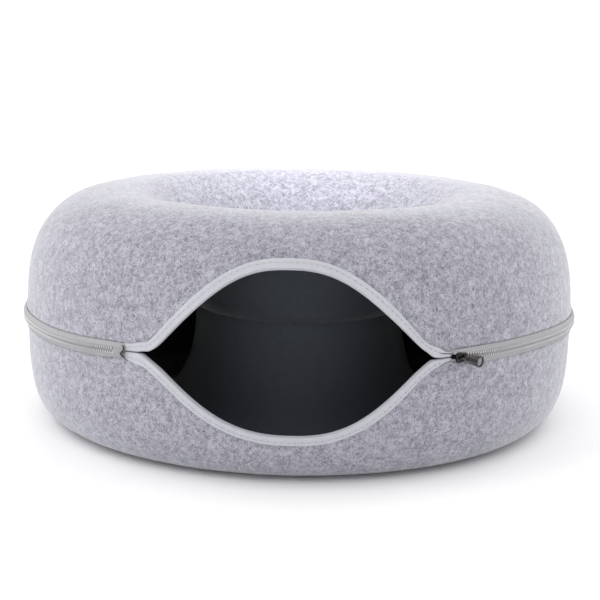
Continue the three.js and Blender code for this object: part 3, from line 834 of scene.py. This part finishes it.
def make_tape(name, side, node):
    """One tape of the zip, lower and tucked in at its two ends."""
    section_up, section_out = tape_section(side)
    count = int(round((ZIP_END - DOOR_RIGHT) / ZIP_STEP))
    tail = degrees_along(TAPE_TAIL)
    azimuth = np.concatenate([np.linspace(DOOR_RIGHT, ZIP_END, count + 1),
                              ZIP_END + tail * np.linspace(0.2, 1, 5)])[:, None]
    sink = TAIL_SINK * smoothstep(azimuth, ZIP_END, ZIP_END + tail)
    sink = sink + HEAD_SINK * smoothstep(-azimuth, -DOOR_RIGHT - degrees_along(HEAD_LENGTH), -DOOR_RIGHT)
    near, far = TAPE_TAPERS[side]
    taper = near * smoothstep(-azimuth, -DOOR_RIGHT - 8, -DOOR_RIGHT)
    taper = taper + far * smoothstep(azimuth, ZIP_END - 5, ZIP_END + 0.4)
    points = ring_points(azimuth, RING_RADIUS + section_out - sink, section_up * (1 - taper))
    run = walked(section_up, section_out)
    mesh = grid_mesh(name, points, stacked(length_along(azimuth), run), ZIP_TAPE_MAT)
    obj = add_object(name, mesh, [node])


def make_teeth():
    """Two rows of coil teeth that meet in the middle."""
    count = int((length_along(ZIP_END - CHAIN_FROM) - BARE_END) / COIL_PITCH)
    turns = [2 * math.pi * (j + 0.5) / TOOTH_SIDES for j in range(TOOTH_SIDES)]
    verts, faces = [], []
    for row, shift in ((1, 0.0), (-1, 0.5)):
        for k in range(count):
            place = wall_matrix(CHAIN_FROM + degrees_along((k + shift) * COIL_PITCH))
            rings = []
            for up, out, r in TOOTH:
                rings.append([on_wall(place, r * TOOTH_LONG * math.cos(turn),
                                      out + r * TOOTH_FLAT * math.sin(turn), row * up) for turn in turns])
            add_tube(verts, faces, rings)
    mesh = bpy.data.meshes.new("zip_teeth")
    mesh.from_pydata(verts, [], faces)
    set_surface(mesh, COIL_MAT)
    face_outward(mesh)
    add_object("zip_teeth", mesh, ["zip_chain"])


def make_core(name, low, high, crest, material):
    """Strip that fills the space between the tapes, up to a crest on its outer face."""
    azimuth = np.linspace(low, high, max(8, int((high - low) / ZIP_STEP)))[:, None]
    section = np.array([(-3.3, 2.6), (-2.4, 2.4), (0, 2.35), (2.4, 2.4), (3.3, 2.6), (3.3, 3.7),
                        (2.2, crest), (0.6, crest), (0, crest - 0.15), (-0.6, crest), (-2.2, crest),
                        (-3.3, 3.7)]) * MM
    sink = CORE_SINK * smoothstep(azimuth, ZIP_END - 1.2, ZIP_END)
    points = ring_points(azimuth, RING_RADIUS + section[:, 1] - sink, section[:, 0] + 0 * azimuth)
    uv = stacked(length_along(azimuth), np.linspace(0, CORE_CLOTH, len(section)))
    add_object(name, grid_mesh(name, points, uv, material))


BARE_FROM = ZIP_END - degrees_along(BARE_END) - 0.5
make_tape("tape_upper", 1, "zip_tape_upper")
make_tape("tape_lower", -1, "zip_tape_lower")
make_teeth()
# Under the teeth the core carries painted shade; past them it is plain tape
make_core("zip_core", CHAIN_FROM, BARE_FROM, 3.75, ZIP_CORE_SHADE_MAT)
make_core("zip_core_end", BARE_FROM, ZIP_END, 4.3, ZIP_TAPE_MAT)


# Slider and pull, with sizes in millimetres and degrees

SLIDER_EDGE = 0.18
SLIDER_EDGE_ANGLE = 40
PULL_PLACE = (3.6, -7.5, -1.0)
PULL_DROOP = 17
PULL_SWING = 2.5
# Thread ends: azimuth, up, out, half length and radius; the last one is a corner of tape
KNOTS = [(28.3, 3.3, 2.9, 0.6, 0.8), (28.0, -7.4, 2.2, 0.2, 0.8), (28.6, -3.8, 3.4, 0.5, 0.75),
         (28.85, 4.6, 3.9, 0.5, 1.2)]
# Dark threads that run together at the slider: azimuths of their two ends and how high they lie
KNOT_LINES = [(25.9, 28.3, 4.8, 3.5), (25.9, 28.9, -6.8, -2.6)]
KNOT_LINE_OUT = (1.7, 2.2)
KNOT_LINE_RADIUS = 0.3


def prism(near, far):
    """Closed solid between two like outlines of points."""
    bm = bmesh.new()
    near = [bm.verts.new(Vector(point) * MM) for point in near]
    far = [bm.verts.new(Vector(point) * MM) for point in far]
    bm.faces.new(near)
    bm.faces.new(far[::-1])
    for i in range(len(near)):
        j = (i + 1) % len(near)
        bm.faces.new((near[j], near[i], far[i], far[j]))
    bmesh.ops.recalc_face_normals(bm, faces=bm.faces)
    return bm


def plate(outline, low, high, bevel=0.0, segments=2):
    """Plate from an outline in (along, up), between two distances out of the wall."""
    bm = prism([(x, -low, z) for x, z in outline], [(x, -high, z) for x, z in outline])
    if bevel:
        bmesh.ops.bevel(bm, geom=bm.edges[:], offset=bevel * MM, segments=segments, profile=0.5,
                        affect="EDGES", clamp_overlap=True)
    return bm


def rounded(outline, radius, steps=4):
    """Outline with its corners rounded off."""
    points = []
    n = len(outline)
    for i in range(n):
        p = Vector(outline[i])
        a = Vector(outline[i - 1]) - p
        b = Vector(outline[(i + 1) % n]) - p
        reach = min(radius, a.length * 0.45, b.length * 0.45)
        p1, p2 = p + a.normalized() * reach, p + b.normalized() * reach
        for k in range(steps + 1):
            t = k / steps
            q = (1 - t) ** 2 * p1 + 2 * t * (1 - t) * p + t * t * p2
            points.append((q.x, q.y))
    return points


def join_bmeshes(parts):
    whole = bpy.data.meshes.new("joined")
    total = bmesh.new()
    for part in parts:
        scratch = bpy.data.meshes.new("scratch")
        part.to_mesh(scratch)
        part.free()
        total.from_mesh(scratch)
        bpy.data.meshes.remove(scratch)
    total.to_mesh(whole)
    total.free()
    return whole


def slider_parts():
    """The slider's two plates, the post between them, its flanges and the bridge for the pull."""
    body = rounded([(-6.5, -3.4), (-6.5, 3.4), (-4.9, 5.0), (-1.0, 5.0), (1.5, 4.0), (4.9, 4.0),
                    (6.5, 2.4), (6.5, -2.4), (4.9, -4.0), (1.5, -4.0), (-1.0, -5.0), (-4.9, -5.0)], 1.2)
    post = rounded([(-6.3, -1.4), (-6.3, 1.4), (-2.7, 0.9), (-2.7, -0.9)], 0.6)
    parts = [plate(body, 5.3, 6.8, 0.3), plate(body, 0.4, 1.9, 0.3), plate(post, 1.8, 5.4)]
    for side in (1, -1):
        wing = [(-5.4, side * 3.9), (-5.4, side * 5.0), (-1.2, side * 5.0), (1.4, side * 4.1),
                (5.2, side * 4.1), (5.2, side * 3.3), (1.0, side * 3.3), (-1.6, side * 4.1)]
        parts.append(plate(wing, 4.75, 5.6, 0.15, 1))
    arch = rounded([(-3.4, 6.7), (-3.4, 9.6), (-2.6, 10.8), (3.4, 10.8), (4.2, 9.6), (4.2, 6.7),
                    (3.0, 6.7), (3.0, 9.0), (2.6, 9.6), (-1.8, 9.6), (-2.2, 9.0), (-2.2, 6.7)], 0.5, 3)
    parts.append(prism([(x, -out, -0.9) for x, out in arch], [(x, -out, 0.9) for x, out in arch]))
    return parts


def make_slider():
    mesh = join_bmeshes(slider_parts())
    mesh.transform(wall_matrix(SLIDER_SHOWN))
    mesh.materials.append(METAL_MAT)
    obj = add_object("slider_body", mesh, ["zip_slider"])
    soften = obj.modifiers.new("edges", "BEVEL")
    soften.width = SLIDER_EDGE * MM
    soften.segments = 2
    soften.limit_method = "ANGLE"
    soften.angle_limit = math.radians(SLIDER_EDGE_ANGLE)


def ellipse(middle, half_long, half_wide, count, start=0.0, end=2 * math.pi):
    turns = np.linspace(start, end, count)
    return [(middle + half_long * math.cos(t), half_wide * math.sin(t)) for t in turns]


def pull_outlines():
    """Outline of the pull tab, of the slot that hangs on the bridge and of the open eye."""
    half_slot, half_slot_wide, bar, long = 1.4, 1.45, 1.3, 24.0
    half_neck, half_wide, dome = 2.8, 5.2, 4.0
    half_eye, half_eye_wide, rim = 2.8, 4.1, 1.6
    start = -half_slot - bar
    end = start + long
    edge = [(start, 0), (start, 2.0), (start + 0.8, half_neck), (start + 6, half_neck)]
    edge += [(end - dome, half_wide)]
    edge += ellipse(end - dome, dome, half_wide, 25, math.pi / 2, -math.pi / 2)[1:-1]
    edge += [(end - dome, -half_wide), (start + 6, -half_neck), (start + 0.8, -half_neck), (start, -2.0)]
    slot = rounded([(-half_slot, half_slot_wide), (half_slot, half_slot_wide),
                    (half_slot, -half_slot_wide), (-half_slot, -half_slot_wide)], 0.5, 3)
    eye = ellipse(end - half_eye - rim, half_eye, half_eye_wide, 37)[:-1]
    return edge, slot, eye


def pull_mesh():
    """Flat piece with rounded edges, lying against the wall's plane."""
    bevel, half_flat = 0.0003, 0.00045
    curve = bpy.data.curves.new("pull_outline", "CURVE")
    curve.dimensions = "2D"
    curve.fill_mode = "BOTH"
    for ring in pull_outlines():
        spline = curve.splines.new("POLY")
        spline.points.add(len(ring) - 1)
        for point, (x, z) in zip(spline.points, ring):
            point.co = (x * MM, z * MM, 0, 1)
        spline.use_cyclic_u = True
    curve.extrude = half_flat
    curve.bevel_depth = bevel
    curve.bevel_resolution = 2
    curve.offset = -bevel
    scratch = bpy.data.objects.new("pull_scratch", curve)
    bpy.context.collection.objects.link(scratch)
    bpy.context.view_layer.update()
    mesh = bpy.data.meshes.new_from_object(scratch.evaluated_get(bpy.context.evaluated_depsgraph_get()))
    bpy.data.objects.remove(scratch)
    mesh.transform(Matrix.Rotation(math.pi / 2, 4, "X"))
    mesh.transform(Matrix.Translation((0, -half_flat - bevel, 0)))
    return mesh


def make_pull():
    """Pull tab: narrow at the bridge, broad and round at the open eye."""
    mesh = pull_mesh()
    droop = Matrix.Rotation(math.radians(PULL_DROOP), 4, "Y")
    swing = Matrix.Rotation(math.radians(PULL_SWING), 4, "Z")
    mesh.transform(Matrix.Translation(Vector(PULL_PLACE) * MM) @ droop @ swing)
    mesh.transform(wall_matrix(SLIDER_SHOWN))
    mesh.materials.clear()
    mesh.materials.append(METAL_MAT)
    weld = bmesh.new()
    weld.from_mesh(mesh)
    bmesh.ops.remove_doubles(weld, verts=weld.verts, dist=1e-6)
    bmesh.ops.recalc_face_normals(weld, faces=weld.faces)
    weld.to_mesh(mesh)
    weld.free()
    add_object("slider_pull", mesh, ["zip_pull"])


def make_knots():
    """Thread ends and a corner of tape that show where the bindings run under the slider."""
    ends = []
    for azimuth, up, out, reach, radius in KNOTS:
        place = wall_matrix(azimuth)
        a, b = on_wall(place, -reach, out, up), on_wall(place, reach, out, up - 0.3)
        ends.append((a, b, outward(place), radius * MM))
    lines = []
    for start, end, up, down in KNOT_LINES:
        first, last = wall_matrix(start), wall_matrix(end)
        a, b = on_wall(first, 0, KNOT_LINE_OUT[0], up), on_wall(last, 0, KNOT_LINE_OUT[1], down)
        lines.append((a, b, outward(last), KNOT_LINE_RADIUS * MM))
    capsule_run("zip_knots", ends[:-1] + lines, DARK_THREAD_MAT)
    capsule_run("zip_tape_corner", ends[-1:], BINDING_MAT)


make_slider()
make_pull()
make_knots()


# Sewn bar at the zip's far end, with sizes in millimetres

# Zigzag of the thread (along, up), and the radius of each of its strands
TACK_PATH = [(0.2, 6.1), (2.3, 5.2), (3.0, 3.8), (2.0, 2.1), (1.1, 0.4), (-0.6, -1.0), (-1.3, -2.2),
             (-0.6, -3.5), (1.0, -4.5), (2.5, -5.8), (4.0, -7.2), (6.0, -8.6)]
TACK_RADII = [0.45, 0.75, 0.85, 0.7, 0.75, 0.8, 0.95, 0.9, 0.7, 0.5, 0.3]
# How far out the thread lies, how much less with each strand at its end, and its overlap
TACK_OUT = 4.3
TACK_FALL = 0.45
TACK_FALL_AFTER = 6
TACK_OVERLAP = 0.4


def make_tack():
    """Small folded tab on the zip's end, held by an uneven zigzag of dark thread."""
    place = wall_matrix(DOOR_LEFT + degrees_along(0.0003))
    tab = rounded([(-2.0, 0.6), (-0.9, 5.6), (1.9, 5.4), (0.5, 0.4)], 0.5)
    under = rounded([(-0.6, -5.6), (-0.6, 5.6), (1.4, 5.6), (1.4, -5.6)], 0.5)
    mesh = join_bmeshes([plate(tab, 2.4, 4.1, 0.3), plate(under, 0.4, 1.2, 0.2)])
    mesh.transform(place)
    mesh.materials.append(ZIP_TAPE_MAT)
    add_object("zip_end_tab", mesh, ["zip_end_tack"])
    strands = []
    for k, radius in enumerate(TACK_RADII):
        (x1, z1), (x2, z2) = TACK_PATH[k], TACK_PATH[k + 1]
        out = TACK_OUT - TACK_FALL * max(0, k - TACK_FALL_AFTER)
        a, b = on_wall(place, x1, out, z1), on_wall(place, x2, out, z2)
        reach = (b - a).normalized() * radius * TACK_OVERLAP * MM
        strands.append((a - reach, b + reach, outward(place), radius * MM))
    capsule_run("zip_end_thread", strands, DARK_THREAD_MAT, lift=0.0002)


make_tack()


# Studio

FLOOR_REACH = 14.0
FLOOR_DROP = 0.0002
HORIZON_TOP = 0.1
WORLD_BRIGHT = 1.57
WORLD_DIM = 0.01

# Wide soft lights, each as where it comes from, its spread in degrees and its energy
SOFT_LIGHTS = [
    ((0, 0, 1), 90, 1.45),
    ((-1, 0.1, 0.6), 70, 1.85),
    ((1, 0.45, 0.5), 70, 1.5),
    ((0, -1, 0.7), 70, 0.95),
]
WELL_LIGHT = {"place": (0, -0.15, 1.3), "aim": (0, 0.1, 0.2), "size": 0.25, "spread": 22, "energy": 0.38}

# The photo's camera: distance in metres, angles in degrees, then pixels of the photo
CAMERA_DISTANCE = 1.5
CAMERA_TILT = 11.58
CAMERA_ROLL = 0.81
PHOTO_SIZE = 600
FOCAL_LENGTH = 1329.0
AIM_PIXEL = (299.2, 300.7)
SENSOR_MM = 36


def make_stage():
    reach = FLOOR_REACH
    corners = [(-reach, -reach), (reach, -reach), (reach, reach), (-reach, reach)]
    mesh = bpy.data.meshes.new("floor")
    mesh.from_pydata([(x, y, -FLOOR_DROP) for x, y in corners], [], [(0, 1, 2, 3)])
    mesh.materials.append(floor_material())
    floor = bpy.data.objects.new("floor", mesh)
    bpy.context.collection.objects.link(floor)


def studio_world():
    """Pale surroundings: bright behind the ring and at the horizon, dark in front and overhead."""
    world = bpy.data.worlds.new("studio")
    world.use_nodes = True
    n = Nodes(world.node_tree)
    way = n.split(n.node("ShaderNodeTexCoord").outputs["Generated"])
    horizon = n.ramp(way["Z"], HORIZON_TOP + 0.08, HORIZON_TOP)
    behind = n.math("MULTIPLY", n.ramp(way["Y"], -0.1, 0.5), n.ramp(way["Z"], 0.8, 0.5))
    bright = n.math("MAXIMUM", horizon, behind)
    strength = n.math("ADD", n.math("MULTIPLY", bright, WORLD_BRIGHT - WORLD_DIM), WORLD_DIM)
    n.fill(n.tree.nodes["Background"], Color=(1.0, 1.0, 1.0, 1), Strength=strength)
    bpy.context.scene.world = world


def add_light(name, kind, way, energy, place=(0, 0, 0)):
    """Light that shines along a way."""
    data = bpy.data.lights.new(name, kind)
    data.energy = energy
    light = bpy.data.objects.new(name, data)
    light.location = place
    light.rotation_euler = way.to_track_quat("-Z", "Y").to_euler()
    bpy.context.collection.objects.link(light)
    return data


def studio_lights():
    """Wide soft lights, and a small lamp with a narrow beam that reaches down into the well."""
    for index, (source, spread, energy) in enumerate(SOFT_LIGHTS):
        data = add_light("soft_light_%d" % index, "SUN", -Vector(source), energy)
        data.angle = math.radians(spread)
    place = Vector(WELL_LIGHT["place"])
    data = add_light("well_light", "AREA", Vector(WELL_LIGHT["aim"]) - place, WELL_LIGHT["energy"], place)
    data.shape = "DISK"
    data.size = WELL_LIGHT["size"]
    data.spread = math.radians(WELL_LIGHT["spread"])


def make_camera():
    tilt = math.radians(CAMERA_TILT)
    data = bpy.data.cameras.new("camera")
    data.sensor_fit = "HORIZONTAL"
    data.sensor_width = SENSOR_MM
    data.lens = FOCAL_LENGTH / PHOTO_SIZE * SENSOR_MM
    data.shift_x = (PHOTO_SIZE / 2 - AIM_PIXEL[0]) / PHOTO_SIZE
    data.shift_y = (AIM_PIXEL[1] - PHOTO_SIZE / 2) / PHOTO_SIZE
    data.clip_start, data.clip_end = 0.05, 50
    camera = bpy.data.objects.new("camera", data)
    target = Vector((0, AXIS_Y, SEAM_Z))
    place = target + Vector((0, -math.cos(tilt), math.sin(tilt))) * CAMERA_DISTANCE
    aim = (target - place).to_track_quat("-Z", "Y").to_matrix().to_4x4()
    roll = Matrix.Rotation(math.radians(CAMERA_ROLL), 4, "Z")
    camera.matrix_world = Matrix.Translation(place) @ aim @ roll
    bpy.context.collection.objects.link(camera)
    bpy.context.scene.camera = camera


make_stage()
studio_world()
studio_lights()
make_camera()
bpy.context.scene.view_settings.view_transform = "Standard"
bpy.context.scene.view_settings.look = "None"
